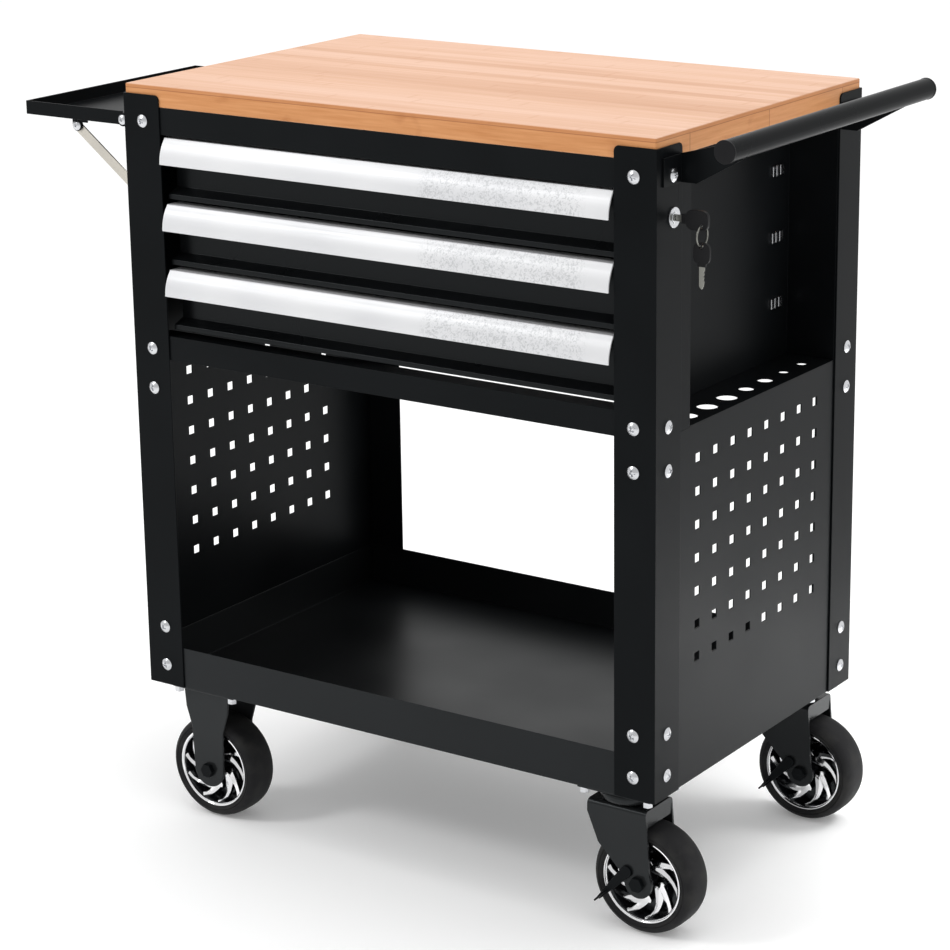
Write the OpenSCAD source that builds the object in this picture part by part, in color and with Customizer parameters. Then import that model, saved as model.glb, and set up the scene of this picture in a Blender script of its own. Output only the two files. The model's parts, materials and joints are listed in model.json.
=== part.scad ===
// Rolling tool chest: three drawers over an open compartment, bamboo worktop, folding side tray.
// Millimetres, +Z up, origin on the floor under the middle of the whole object's bounding box.
// The modules below draw in chest coordinates: x from the chest's middle, y from its front face
// to the back, z from the floor. at_origin() moves them to the object's own frame.

/* [Chest] */
// Width over the corner posts
chest_w = 716; // [700:1:740]
// Depth over the corner posts
chest_d = 455; // [450:1:470]
// Corner post length
post_h = 721; // [721:1:723]
// Clear height of the frame above the floor
frame_z = 168; // [166:1:172]
// Corner post flange width
flange_w = 52; // [50:1:53]
// Worktop thickness
top_t = 25; // [20:1:28]

/* [Drawers] */
// Height from one drawer to the next
drawer_pitch = 77.5; // [77:0.1:78]
// Drawer front height
front_h = 70; // [68:0.5:71]
// Drawer box depth
box_d = 400; // [350:5:410]

/* [Side tray] */
// Tray reach from its hinge
tray_reach = 150; // [140:1:160]
// Tray length
tray_len = 312; // [300:1:320]

/* [Castors] */
// Wheel diameter
wheel_d = 127; // [123:1:128]
// Tyre width
tyre_w = 46; // [40:1:46]
// Swivel trail
trail = 28; // [24:1:32]

/* [Handle] */
// Handle tube diameter
tube_d = 25; // [22:1:28]
// Handle centre line distance from the chest's side
handle_out = 80; // [70:1:90]

/* [Hidden] */
$fn = 48;
eps = 0.01;
sheet = 1.5;
post_t = 2;
half_w = chest_w / 2;
skin_x = half_w - post_t;
inner_x = skin_x - sheet;
rear_skin = chest_d - post_t;
rail_x = inner_x - 0.5;

top_z = frame_z + 707;
rail_z = frame_z + 409;
rail_h = 29;
tray_wall_h = 50.5;
shelf_z = rail_z + sheet;

drawer_count = 3;
drawer_1_z = frame_z + 602.5;
front_x = half_w - flange_w - 3;
front_y = 24;
lip_y = 8;
lip_drop = 2;
pull_r = 45;
pull_t = 2;
wall_x = 294;
slide_gap = 12.5;
slide_h = 34;
slide_y = 34;
slide_len = 400;
slide_zc = 30;
hook_spans = [[360, 365], [368, 373], [377, 385]];
hook_h = 12;
hook_out = 2.5;
box_h = 56;
box_y = front_y + sheet;
recess_front = 74;
recess_rear = chest_d - flange_w - 1;

peg_pitch = 38;
peg_hole = 10;
peg_cols = 8;
peg_rows = 7;
peg_y = chest_d / 2 - 2.3;
peg_z = frame_z + 257;

hinge_x = -(half_w + 10);
hinge_z = frame_z + 687;
side_tray_y = 8;
rim_up = 10;
rim_down = 6;
lug_x = hinge_x - 80;
lug_z = hinge_z - 15;
lug_y = 12;
strut_len = 105.5;
strut_w = 12;
strut_drop = 2;
strut_angle = 52.8;
pin_r = 3;
run_gap = 0.08;

handle_x = half_w + handle_out;
handle_z = frame_z + 726;
handle_y0 = -2;
handle_y1 = chest_d + 2;
arm_y = 46;
arm_z = frame_z + 680;

lock_y = 33;
lock_z = frame_z + 645;

wheel_r = wheel_d / 2;
rim_r = 50;
axle_r = 5;
hub_half = tyre_w / 2 - 1;
cheek_in = tyre_w / 2 + 3;
cheek_t = 3;
castor_y = 40;
swivel_x = 302;
rigid_x = -281;
plate_w = 94;
plate_d = 70;
plate_t = 3;
race_r = 33;
crown_r = 38;
bend_r = 6;
lip_depth = 20;
race_h = 14;
crown_z = frame_z - plate_t - race_h - 0.4;
king_r = 6;
rear_dy = chest_d - 2 * castor_y;
lever_w = 14;
lever_tip = 4;
lever_len = 53;
pedal_len = 16;
pedal_out = 12;
lever_turn = -132;
lever_x = trail - 14;
lever_z = wheel_r + 12;

bolt_r = 7.5;
bolt_h = 4;
bolt_z_top = frame_z + 690;
bolt_levels = [frame_z + 26, frame_z + 74.5, frame_z + 373, frame_z + 421];

x_min = hinge_x - tray_reach;
x_max = handle_x + tube_d / 2;
y_min = -6;
y_max = chest_d + bolt_h;

steel = [0.07, 0.07, 0.075];
zinc = [0.72, 0.73, 0.74];
bamboo = [0.86, 0.62, 0.38];
alu = [0.9, 0.9, 0.91];
rubber_c = [0.05, 0.05, 0.05];

// Which part to draw

// ---------- helpers ----------

module at_origin() {
    translate([-(x_min + x_max) / 2, -(y_min + y_max) / 2, 0]) children();
}

module block(x0, x1, y0, y1, z0, z1) {
    translate([x0, y0, z0]) cube([x1 - x0, y1 - y0, z1 - z0]);
}

// A 2D profile in (y, z) run along x from x0 to x1
module along_x(x0, x1) {
    translate([x0, 0, 0]) rotate([90, 0, 90]) linear_extrude(x1 - x0) children();
}

// A 2D profile in (x, z) run along y from y0 to y1
module along_y(y0, y1) {
    translate([0, y1, 0]) rotate([90, 0, 0]) linear_extrude(y1 - y0) children();
}

module rod_x(x0, x1, y, z, r) {
    translate([x0, y, z]) rotate([0, 90, 0]) cylinder(h = x1 - x0, r = r);
}

module rod_y(y0, y1, x, z, r) {
    translate([x, y0, z]) rotate([-90, 0, 0]) cylinder(h = y1 - y0, r = r);
}

// Rectangle with its outer top corner rounded off, as seen from outside
module corner_plate(w, h, r) {
    difference() {
        square([w, h]);
        translate([w - r, h - r]) difference() {
            square(r + 1);
            circle(r);
        }
    }
}

// ---------- frame ----------

// Post at the front right; the others are mirror images of it
module post_shape() {
    translate([half_w, post_t, frame_z]) rotate([90, 0, 0]) linear_extrude(post_t)
        mirror([1, 0]) corner_plate(flange_w, post_h, 6);
    translate([skin_x, 0, frame_z]) rotate([90, 0, 90]) linear_extrude(post_t)
        corner_plate(flange_w, post_h, 6);
}

module to_left() mirror([1, 0, 0]) children();

module to_rear() translate([0, chest_d, 0]) mirror([0, 1, 0]) children();

module post_front_right() {
    color(steel) at_origin() difference() {
        post_shape();
        rod_x(skin_x - 1, half_w + 1, lock_y, lock_z, 9);
    }
}

module post_front_left() color(steel) at_origin() to_left() post_shape();

module post_rear_right() color(steel) at_origin() to_rear() post_shape();

module post_rear_left() color(steel) at_origin() to_left() to_rear() post_shape();

module worktop() {
    color(bamboo) at_origin() block(-skin_x, skin_x, post_t, rear_skin, top_z, top_z + top_t);
}

module front_top_rail() {
    rail_low = top_z - 31.5;
    color(steel) at_origin() {
        block(-rail_x, rail_x, post_t, post_t + sheet, rail_low, top_z);
        block(-rail_x, rail_x, post_t, 24, top_z - sheet, top_z);
        block(-front_x, front_x, post_t, 20, rail_low, rail_low + sheet);
    }
}

module front_mid_rail() {
    color(steel) at_origin() {
        block(-rail_x, rail_x, post_t, post_t + sheet, rail_z, rail_z + rail_h);
        block(-rail_x, rail_x, post_t, 28, rail_z + rail_h - sheet, rail_z + rail_h);
        block(-rail_x, rail_x, 28 - sheet, 28, rail_z + rail_h - 10, rail_z + rail_h);
        block(-rail_x, rail_x, post_t, 14, rail_z, rail_z + sheet);
    }
}

module rear_panel() {
    color(steel) at_origin() {
        block(-rail_x, rail_x, rear_skin - sheet, rear_skin, rail_z, top_z);
        block(-rail_x, rail_x, rear_skin - 16, rear_skin, rail_z, rail_z + sheet);
    }
}

module peg_panel_shape() {
    difference() {
        block(inner_x, skin_x, post_t, rear_skin, frame_z, rail_z);
        for (c = [0 : peg_cols - 1], r = [0 : peg_rows - 1])
            translate([inner_x - 1, peg_y + (c - (peg_cols - 1) / 2) * peg_pitch - peg_hole / 2,
                       peg_z + (r - (peg_rows - 1) / 2) * peg_pitch - peg_hole / 2])
                cube([sheet + 2, peg_hole, peg_hole]);
    }
}

module right_peg_panel() color(steel) at_origin() peg_panel_shape();

module left_peg_panel() color(steel) at_origin() to_left() peg_panel_shape();

module left_upper_panel() {
    color(steel) at_origin() to_left()
        block(inner_x, skin_x, post_t, rear_skin, rail_z, top_z);
}

module left_slide_wall() {
    color(steel) at_origin() to_left()
        block(wall_x - sheet, wall_x, 30, rear_skin - sheet, shelf_z, top_z);
}

module right_recess_wall() {
    color(steel) at_origin() difference() {
        union() {
            block(wall_x - sheet, wall_x, 30, rear_skin - sheet, shelf_z, top_z);
            block(wall_x, inner_x, recess_front - sheet, recess_front, shelf_z, top_z);
            block(inner_x, skin_x, post_t, recess_front, rail_z, top_z);
            block(wall_x, inner_x, recess_rear, recess_rear + sheet, shelf_z, top_z);
            block(inner_x, skin_x, recess_rear, rear_skin, rail_z, top_z);
        }
        rod_x(inner_x - 1, skin_x + 1, lock_y, lock_z, 9);
    }
}

// Shelf with graded holes for screwdrivers and bits
tool_holes = [24, 24, 24, 18, 18, 12, 12];
tool_pitch = 43.4;
tool_x = 332;
tool_y = 108.6;

module right_tool_shelf() {
    color(steel) at_origin() difference() {
        union() {
            block(wall_x - sheet, inner_x, recess_front - sheet, recess_rear + sheet,
                  shelf_z - sheet, shelf_z);
            block(inner_x, skin_x, recess_front, recess_rear, shelf_z - sheet, shelf_z);
        }
        for (i = [0 : len(tool_holes) - 1])
            translate([tool_x, tool_y + i * tool_pitch, shelf_z - sheet - 1])
                cylinder(h = sheet + 2, r = tool_holes[i] / 2);
    }
}

module lower_tray() {
    color(steel) at_origin() {
        block(-inner_x, inner_x, post_t, rear_skin, frame_z, frame_z + sheet);
        block(-inner_x, inner_x, post_t, post_t + sheet, frame_z, frame_z + tray_wall_h);
        block(-inner_x, inner_x, rear_skin - sheet, rear_skin, frame_z, frame_z + tray_wall_h);
        block(-inner_x, -inner_x + sheet, post_t, rear_skin, frame_z, frame_z + tray_wall_h);
        block(inner_x - sheet, inner_x, post_t, rear_skin, frame_z, frame_z + tray_wall_h);
    }
}

// ---------- handle ----------

module handle_tube() {
    color(steel) at_origin() difference() {
        rod_y(handle_y0 + 3, handle_y1 - 3, handle_x, handle_z, tube_d / 2 - 0.5);
        rod_y(handle_y0, handle_y1, handle_x, handle_z, tube_d / 2 - 2);
    }
}

module cap_shape() {
    rod_y(handle_y0, handle_y0 + 3, handle_x, handle_z, tube_d / 2);
    rod_y(handle_y0 + 3, handle_y0 + 18, handle_x, handle_z, tube_d / 2 - 2);
}

module handle_caps() {
    color(steel) at_origin() {
        cap_shape();
        to_rear() cap_shape();
    }
}

module handle_bracket_shape() {
    reach = handle_x - tube_d / 2;
    block(half_w, half_w + 2, 11, arm_y + 3, arm_z, arm_z + 30);
    difference() {
        along_y(arm_y, arm_y + 3) polygon([
            [half_w, arm_z], [half_w + 20, arm_z], [handle_x, handle_z - tube_d / 2],
            [handle_x, handle_z], [reach, handle_z + 2], [half_w, arm_z + 30]]);
        rod_y(arm_y - 1, arm_y + 4, handle_x, handle_z, tube_d / 2 - 0.5);
    }
}

module handle_brackets() {
    color(steel) at_origin() {
        handle_bracket_shape();
        to_rear() handle_bracket_shape();
    }
}

// ---------- fasteners ----------

// Pan head with a socket, its base at z = 0
module pan_head(r = bolt_r, h = bolt_h) {
    difference() {
        intersection() {
            cylinder(h = h, r = r);
            translate([0, 0, h - r * 1.55]) sphere(r * 1.55, $fn = 96);
        }
        translate([0, 0, h - 2]) cylinder(h = 3, r = r * 0.34, $fn = 6);
    }
}

module head_front(x, z) translate([x, 0, z]) rotate([90, 0, 0]) pan_head();

module head_side(x, y, z) translate([x, y, z]) rotate([0, 90, 0]) pan_head();

module corner_heads() {
    for (z = bolt_levels) {
        head_front(half_w - 27.5, z);
        head_side(half_w, 25, z);
    }
    head_front(half_w - 27.5, bolt_z_top);
}

module frame_bolts() {
    color(zinc) at_origin() {
        for (left = [0, 1], rear = [0, 1])
            mirror([left, 0, 0])
                translate([0, rear * chest_d, 0]) mirror([0, rear, 0]) corner_heads();
        head_side(half_w + 2, 30, bolt_z_top);
        to_rear() head_side(half_w + 2, 30, bolt_z_top);
        to_left() head_side(half_w + 2, 30, bolt_z_top);
        to_left() head_side(skin_x + 2, side_tray_y + tray_len - 22, bolt_z_top);
    }
}

// ---------- drawers ----------

function drawer_z(n) = drawer_1_z - (n - 1) * drawer_pitch;

// Channel of one fixed slide, open toward the drawer
module fixed_slide_shape(z) {
    x1 = wall_x - sheet;
    x0 = x1 - 9.5;
    web = 1.2;
    zc = z + slide_zc;
    block(x1 - web, x1, slide_y, slide_y + slide_len, zc - slide_h / 2, zc + slide_h / 2);
    for (s = [-1, 1])
        block(x0, x1, slide_y, slide_y + slide_len,
              zc + s * (slide_h / 2 - web / 2) - web / 2, zc + s * (slide_h / 2 - web / 2) + web / 2);
}

// Six fixed slides; the hooks of the right-hand ones show in the recess
module slide_rails() {
    color(zinc) at_origin()
        for (n = [1 : drawer_count]) {
            fixed_slide_shape(drawer_z(n));
            to_left() fixed_slide_shape(drawer_z(n));
            for (span = hook_spans)
                block(wall_x, wall_x + hook_out, span[0], span[1],
                      drawer_z(n) + slide_zc - hook_h / 2, drawer_z(n) + slide_zc + hook_h / 2);
        }
}

module runner_shape(z) {
    x0 = wall_x - sheet - slide_gap;
    zc = z + slide_zc;
    block(x0, x0 + 2, slide_y + 4, slide_y + slide_len - 4, zc - 13, zc + 13);
    block(x0, x0 + 9, slide_y + 4, slide_y + slide_len - 4, zc - 4, zc + 4);
}

module drawer_runners(n) {
    color(zinc) at_origin() {
        runner_shape(drawer_z(n));
        to_left() runner_shape(drawer_z(n));
    }
}

module drawer_box(n) {
    x1 = wall_x - sheet - slide_gap;
    z0 = drawer_z(n) + 4;
    y1 = box_y + box_d;
    color(steel) at_origin() {
        block(-x1, x1, box_y, y1, z0, z0 + sheet);
        block(-x1, -x1 + sheet, box_y, y1, z0, z0 + box_h);
        block(x1 - sheet, x1, box_y, y1, z0, z0 + box_h);
        block(-x1, x1, y1 - sheet, y1, z0, z0 + box_h);
        block(-x1, x1, box_y, box_y + sheet, z0, z0 + box_h);
    }
}

// Folded front: a flat recessed face, a sloping ledge under it and a short lip
module drawer_front(n) {
    z0 = drawer_z(n);
    color(steel) at_origin() along_x(-front_x, front_x) translate([0, z0]) polygon([
        [lip_y, -lip_drop], [lip_y, 4], [front_y, 10], [front_y, front_h - 2], [front_y + sheet, front_h - 2],
        [front_y + sheet, 8.9], [lip_y + sheet, 2.9], [lip_y + sheet, -lip_drop]]);
}

// Convex strip over the front's top edge, leaning out toward its lower edge
pull_top = [5, front_h];
pull_low = [-6, front_h - 30];
pull_chord = pull_top - pull_low;
pull_c = norm(pull_chord);
pull_back = sqrt(pull_r * pull_r - pull_c * pull_c / 4);
pull_mid = (pull_top + pull_low) / 2;
pull_centre = pull_mid + [pull_chord[1], -pull_chord[0]] / pull_c * pull_back;

module drawer_pull(n) {
    far = 3;
    color(alu) at_origin() along_x(-front_x, front_x) translate([0, drawer_z(n)]) {
        intersection() {
            difference() {
                translate(pull_centre) circle(pull_r, $fn = 128);
                translate(pull_centre) circle(pull_r - pull_t, $fn = 128);
            }
            polygon([pull_centre, pull_centre + (pull_top - pull_centre) * far,
                     pull_centre + (pull_low - pull_centre) * far]);
        }
        translate([pull_top[0] - 1, front_h - pull_t]) square([front_y - pull_top[0] + 1 + sheet, pull_t]);
    }
}

module drawer_1_box() drawer_box(1);
module drawer_1_front() drawer_front(1);
module drawer_1_pull() drawer_pull(1);
module drawer_1_runners() drawer_runners(1);
module drawer_2_box() drawer_box(2);
module drawer_2_front() drawer_front(2);
module drawer_2_pull() drawer_pull(2);
module drawer_2_runners() drawer_runners(2);
module drawer_3_box() drawer_box(3);
module drawer_3_front() drawer_front(3);
module drawer_3_pull() drawer_pull(3);
module drawer_3_runners() drawer_runners(3);

// ---------- lock ----------

module lock_barrel() {
    color(zinc) at_origin() difference() {
        union() {
            rod_x(half_w - 26, half_w, lock_y, lock_z, 8.95);
            rod_x(half_w, half_w + 2.5, lock_y, lock_z, 11);
        }
        rod_x(half_w - 30, half_w + 5, lock_y, lock_z, 6);
    }
}

module lock_plug() {
    color(zinc) at_origin() rod_x(half_w - 25, half_w + 3, lock_y, lock_z, 6 - run_gap);
}

// Key bow in the (x, z) plane with an eye for the ring, and a blade pointing to -x or down
module key_bow() {
    difference() {
        union() {
            translate([-8, -11]) square([18, 22]);
            translate([8, 0]) circle(11);
        }
        translate([11, -6]) circle(2.4);
    }
}

key_x = half_w + 24;
ring_x = key_x + 11;
ring_z = lock_z - 6 - 10;

module lock_key() {
    color(rubber_c) at_origin() {
        translate([key_x, 0, lock_z]) along_y(lock_y - 2.5, lock_y + 2.5) key_bow();
        block(half_w + 3, key_x - 8, lock_y - 1, lock_y + 1, lock_z - 4, lock_z + 4);
    }
}

module key_ring() {
    color(zinc) at_origin() translate([ring_x, lock_y, ring_z]) rotate([0, 90, 0])
        rotate_extrude() translate([11, 0]) circle(0.9);
}

module spare_key() {
    color(rubber_c) at_origin() translate([ring_x, 0, ring_z - 17]) {
        along_y(lock_y - 2, lock_y + 2) difference() {
            union() {
                circle(10);
                translate([-7, -13]) square([14, 10]);
            }
            translate([0, 6]) circle(2.4);
        }
        block(-3.5, 3.5, lock_y - 1, lock_y + 1, -40, -12);
    }
}

// ---------- folding side tray ----------

tray_y1 = side_tray_y + tray_len;
tray_z0 = hinge_z - rim_down;
tray_z1 = hinge_z + rim_up;
tray_in = hinge_x - 12;

module tray_rim_profile() {
    difference() {
        union() {
            translate([x_min, tray_z0]) square([hinge_x - x_min, tray_z1 - tray_z0]);
            translate([hinge_x, hinge_z]) circle(8);
        }
        translate([hinge_x, hinge_z]) circle(pin_r);
    }
}

module lug_profile() {
    difference() {
        union() {
            translate([lug_x, lug_z]) circle(7);
            translate([lug_x - 7, lug_z]) square([14, tray_z0 - lug_z]);
            translate([lug_x + 7, tray_z0 - 5]) square([9, 5]);
        }
        translate([lug_x, lug_z]) circle(pin_r);
    }
}

module side_tray() {
    color(steel) at_origin() {
        block(x_min, tray_in, side_tray_y, tray_y1, tray_z0, tray_z0 + sheet);
        block(x_min, x_min + sheet, side_tray_y, tray_y1, tray_z0, tray_z1);
        along_y(side_tray_y, side_tray_y + sheet) tray_rim_profile();
        along_y(tray_y1 - sheet, tray_y1) tray_rim_profile();
        for (y = [side_tray_y + lug_y - 2, tray_y1 - lug_y])
            along_y(y, y + 2) lug_profile();
    }
}

module side_tray_pins() {
    color(zinc) at_origin() for (far = [0, 1])
        translate([0, far * (tray_y1 + side_tray_y), 0]) mirror([0, far, 0]) {
            rod_y(side_tray_y, side_tray_y + 6, hinge_x, hinge_z, pin_r);
            translate([hinge_x, side_tray_y, hinge_z]) rotate([90, 0, 0]) pan_head(6, 3);
            rod_y(side_tray_y + lug_y - 2, side_tray_y + lug_y + 4, lug_x, lug_z, pin_r);
            translate([lug_x, side_tray_y + lug_y - 2, lug_z]) rotate([90, 0, 0]) pan_head(6, 3);
        }
}

module strut_profile() {
    difference() {
        translate([lug_x, lug_z]) rotate(-(90 - strut_angle)) union() {
            circle(strut_w / 2);
            translate([0, -strut_w / 2 - strut_drop]) square([strut_len - 2, strut_w]);
            translate([strut_len - 2, -strut_drop]) circle(strut_w / 2);
        }
        translate([lug_x, lug_z]) circle(pin_r + run_gap);
    }
}

module side_tray_struts() {
    y = side_tray_y + lug_y + 0.5;
    color([0.75, 0.72, 0.66]) at_origin() for (far = [0, 1])
        translate([0, far * (tray_y1 + side_tray_y), 0]) mirror([0, far, 0])
            along_y(y, y + 2) strut_profile();
}

module ear_profile() {
    difference() {
        union() {
            translate([hinge_x, hinge_z]) circle(8);
            translate([hinge_x, hinge_z - 8]) square([-skin_x - hinge_x - 0.5, 16]);
        }
        translate([hinge_x, hinge_z]) circle(pin_r + run_gap);
    }
}

module tray_brackets() {
    ear_y = side_tray_y + sheet + 0.5;
    color(steel) at_origin() {
        intersection() {
            along_y(ear_y, ear_y + 2) ear_profile();
            block(-half_w - 60, -half_w, 0, 60, 0, 2000);
        }
        block(-half_w - 2, -half_w, ear_y, 48, hinge_z - 8, hinge_z + 14);
        along_y(tray_y1 - sheet - 2.5, tray_y1 - sheet - 0.5) ear_profile();
        block(-skin_x - 2, -skin_x, tray_y1 - sheet - 38, tray_y1 - sheet - 0.5, hinge_z - 8, hinge_z + 14);
    }
}

// ---------- castors ----------

// Children are drawn for the front castor and again, unmirrored, for the rear one
module both_ends() {
    for (dy = [0, rear_dy]) translate([0, dy, 0]) children();
}

module mount_plate(x) {
    block(x - plate_w / 2, x + plate_w / 2, castor_y - plate_d / 2, castor_y + plate_d / 2,
          frame_z - plate_t, frame_z);
}

// Ball race with a rounded rim, from the fork's crown up into the plate
module race() {
    nose = race_h / 2;
    cylinder(h = race_h + eps, r = race_r - nose);
    translate([0, 0, nose + 0.5]) rotate_extrude() translate([race_r - nose, 0]) circle(nose);
}

module swivel_plates() {
    color(steel) at_origin() both_ends() {
        mount_plate(swivel_x);
        translate([swivel_x, castor_y, frame_z - plate_t - race_h]) race();
        translate([swivel_x, castor_y, crown_z - 8]) cylinder(h = 12, r = king_r);
        translate([swivel_x, castor_y, crown_z - 9]) cylinder(h = 5, r = king_r + 4);
    }
}

// Cheek outline in (x, z) about the swivel centre, with an eye at the axle
module swivel_cheek() {
    axle_z = wheel_r - crown_z;
    difference() {
        union() {
            polygon([[-crown_r, -bend_r], [crown_r, -bend_r], [crown_r + 2, -30], [trail + 15, axle_z + 2],
                     [trail - 17, axle_z + 4], [-24, -48], [-crown_r, -14]]);
            translate([trail, axle_z]) circle(17.5);
        }
        translate([trail, axle_z]) circle(axle_r);
    }
}

// A band with rounded top corners, in (y, z) below z = 0
module bent_top(half, r, depth) {
    translate([-half, -depth]) square([2 * half, depth - r]);
    translate([r - half, -depth]) square([2 * (half - r), depth]);
    for (s = [-1, 1]) translate([s * (half - r), -r]) circle(r);
}

// Sheet crown bent down into both cheeks, closed by a lip on the leading side
module fork_crown() {
    reach = cheek_in + cheek_t;
    along_x(-crown_r, crown_r) difference() {
        bent_top(reach, bend_r, 2 * bend_r);
        translate([0, -cheek_t]) bent_top(reach - cheek_t, bend_r - cheek_t, 2 * bend_r);
    }
    along_x(crown_r - cheek_t, crown_r) bent_top(reach, bend_r, lip_depth);
}

module swivel_fork(dy) {
    color(steel) at_origin() translate([swivel_x, castor_y + dy, crown_z]) {
        difference() {
            for (s = [-1, 1])
                translate([0, s * (cheek_in + cheek_t / 2) - cheek_t / 2, 0])
                    along_y(0, cheek_t) swivel_cheek();
            rod_y(-cheek_in - cheek_t - 1, 0, lever_x, lever_z - crown_z, pin_r);
        }
        difference() {
            fork_crown();
            translate([0, 0, -cheek_t - 1]) cylinder(h = cheek_t + 2, r = king_r + run_gap);
        }
    }
}

module axle_shape(x, y) {
    reach = cheek_in + cheek_t;
    rod_y(y - reach - 2, y + reach + 2, x, wheel_r, axle_r);
    translate([x, y - reach, wheel_r]) rotate([90, 0, 0]) cylinder(h = 6, r = 9, $fn = 6);
    translate([x, y + reach + 6, wheel_r]) rotate([90, 0, 0]) cylinder(h = 6, r = 9, $fn = 6);
}

module swivel_fork_front() swivel_fork(0);
module swivel_fork_rear() swivel_fork(rear_dy);
module swivel_axle_front() color(steel) at_origin() axle_shape(swivel_x + trail, castor_y);
module swivel_axle_rear() color(steel) at_origin() axle_shape(swivel_x + trail, castor_y + rear_dy);

// Tapered lever on the outside of the cheek, with a thin foot pedal turned outward at its low end
module brake_lever(dy) {
    y0 = -cheek_in - cheek_t - 0.5;
    color(steel) at_origin() translate([swivel_x + lever_x, castor_y + dy, lever_z]) {
        along_y(y0 - cheek_t, y0) rotate(lever_turn) union() {
            circle(lever_w / 2);
            polygon([[0, lever_w / 2], [lever_len, lever_tip / 2],
                     [lever_len, -lever_tip / 2], [0, -lever_w / 2]]);
        }
        along_y(y0 - pedal_out, y0) rotate(lever_turn)
            translate([lever_len - pedal_len, -1]) square([pedal_len, 2]);
        rod_y(y0 - 1, y0 + cheek_t + 1, 0, 0, pin_r - run_gap);
    }
}

module brake_lever_front() brake_lever(0);
module brake_lever_rear() brake_lever(rear_dy);

module rigid_cheek() {
    fork_z = frame_z - plate_t;
    axle_z = wheel_r - fork_z;
    difference() {
        union() {
            polygon([[-34, 0], [34, 0], [32, -24], [24, -50], [22, axle_z],
                     [-22, axle_z], [-24, -50], [-32, -24]]);
            translate([0, axle_z]) circle(22);
        }
        translate([0, axle_z]) circle(axle_r);
    }
}

module rigid_forks() {
    fork_z = frame_z - plate_t;
    color(steel) at_origin() both_ends() {
        mount_plate(rigid_x);
        translate([rigid_x, castor_y, fork_z])
            for (s = [-1, 1])
                translate([0, s * (cheek_in + cheek_t / 2) - cheek_t / 2, 0])
                    along_y(0, cheek_t) rigid_cheek();
    }
}

module rigid_axles() {
    color(steel) at_origin() both_ends() axle_shape(rigid_x, castor_y);
}

module castor_bolts() {
    color(zinc) at_origin() both_ends() for (x = [rigid_x, swivel_x], sx = [-1, 1], sy = [-1, 1])
        translate([x + sx * (plate_w / 2 - 6), castor_y + sy * (plate_d / 2 - 6), frame_z - plate_t])
            rotate([180, 0, 0]) cylinder(h = 6.5, r = 5.8, $fn = 6);
}

module tyre(x, dy) {
    w = tyre_w / 2;
    color(rubber_c) at_origin() translate([x, castor_y + dy, wheel_r]) rotate([90, 0, 0])
        rotate_extrude($fn = 96) polygon([
            [rim_r, -w + 3], [wheel_r - 8, -w], [wheel_r - 3, -w + 4], [wheel_r, -w + 12],
            [wheel_r, w - 12], [wheel_r - 3, w - 4], [wheel_r - 8, w], [rim_r, w - 3]]);
}

// One spoke: a curved arm that runs from the hub to the rim ring
module spoke() {
    intersection() {
        difference() {
            translate([10, 24]) circle(30);
            translate([14, 27]) circle(27);
        }
        difference() {
            circle(rim_r - 4);
            circle(10);
        }
        translate([0, -50]) square([60, 60]);
    }
}

module rim(x, dy) {
    spokes = 6;
    w = tyre_w / 2;
    color(zinc) at_origin() translate([x, castor_y + dy, wheel_r]) rotate([90, 0, 0]) {
        rotate_extrude($fn = 96) polygon([
            [rim_r, -w + 3], [rim_r - 6, -w + 3], [rim_r - 7, -w + 8], [rim_r - 7, w - 8],
            [rim_r - 6, w - 3], [rim_r, w - 3]]);
        difference() {
            translate([0, 0, -hub_half]) cylinder(h = 2 * hub_half, r = 14);
            translate([0, 0, -hub_half - 1]) cylinder(h = 2 * hub_half + 2, r = axle_r + run_gap);
        }
        for (side = [-w + 6, w - 10]) translate([0, 0, side]) linear_extrude(4) difference() {
            for (i = [0 : spokes - 1]) rotate(i * 360 / spokes) spoke();
            circle(12);
        }
        difference() {
            translate([0, 0, -2]) cylinder(h = 4, r = rim_r - 6.5);
            translate([0, 0, -3]) cylinder(h = 6, r = 13);
        }
    }
}

module tyre_front_right() tyre(swivel_x + trail, 0);
module rim_front_right() rim(swivel_x + trail, 0);
module tyre_rear_right() tyre(swivel_x + trail, rear_dy);
module rim_rear_right() rim(swivel_x + trail, rear_dy);
module tyre_front_left() tyre(rigid_x, 0);
module rim_front_left() rim(rigid_x, 0);
module tyre_rear_left() tyre(rigid_x, rear_dy);
module rim_rear_left() rim(rigid_x, rear_dy);

// ---------- node selection ----------

post_front_left();
post_front_right();
post_rear_left();
post_rear_right();
worktop();
front_top_rail();
front_mid_rail();
rear_panel();
left_peg_panel();
right_peg_panel();
left_upper_panel();
left_slide_wall();
right_recess_wall();
right_tool_shelf();
lower_tray();
handle_tube();
handle_caps();
handle_brackets();
frame_bolts();
slide_rails();
lock_barrel();
tray_brackets();
swivel_plates();
rigid_forks();
rigid_axles();
castor_bolts();
drawer_1_box();
drawer_1_front();
drawer_1_pull();
drawer_1_runners();
drawer_2_box();
drawer_2_front();
drawer_2_pull();
drawer_2_runners();
drawer_3_box();
drawer_3_front();
drawer_3_pull();
drawer_3_runners();
side_tray();
side_tray_pins();
side_tray_struts();
lock_plug();
lock_key();
spare_key();
key_ring();
swivel_fork_front();
swivel_axle_front();
brake_lever_front();
swivel_fork_rear();
swivel_axle_rear();
brake_lever_rear();
tyre_front_right();
rim_front_right();
tyre_rear_right();
rim_rear_right();
tyre_front_left();
rim_front_left();
tyre_rear_left();
rim_rear_left();
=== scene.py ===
import json
import math

import bmesh
import bpy
from mathutils import Matrix, Vector


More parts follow.
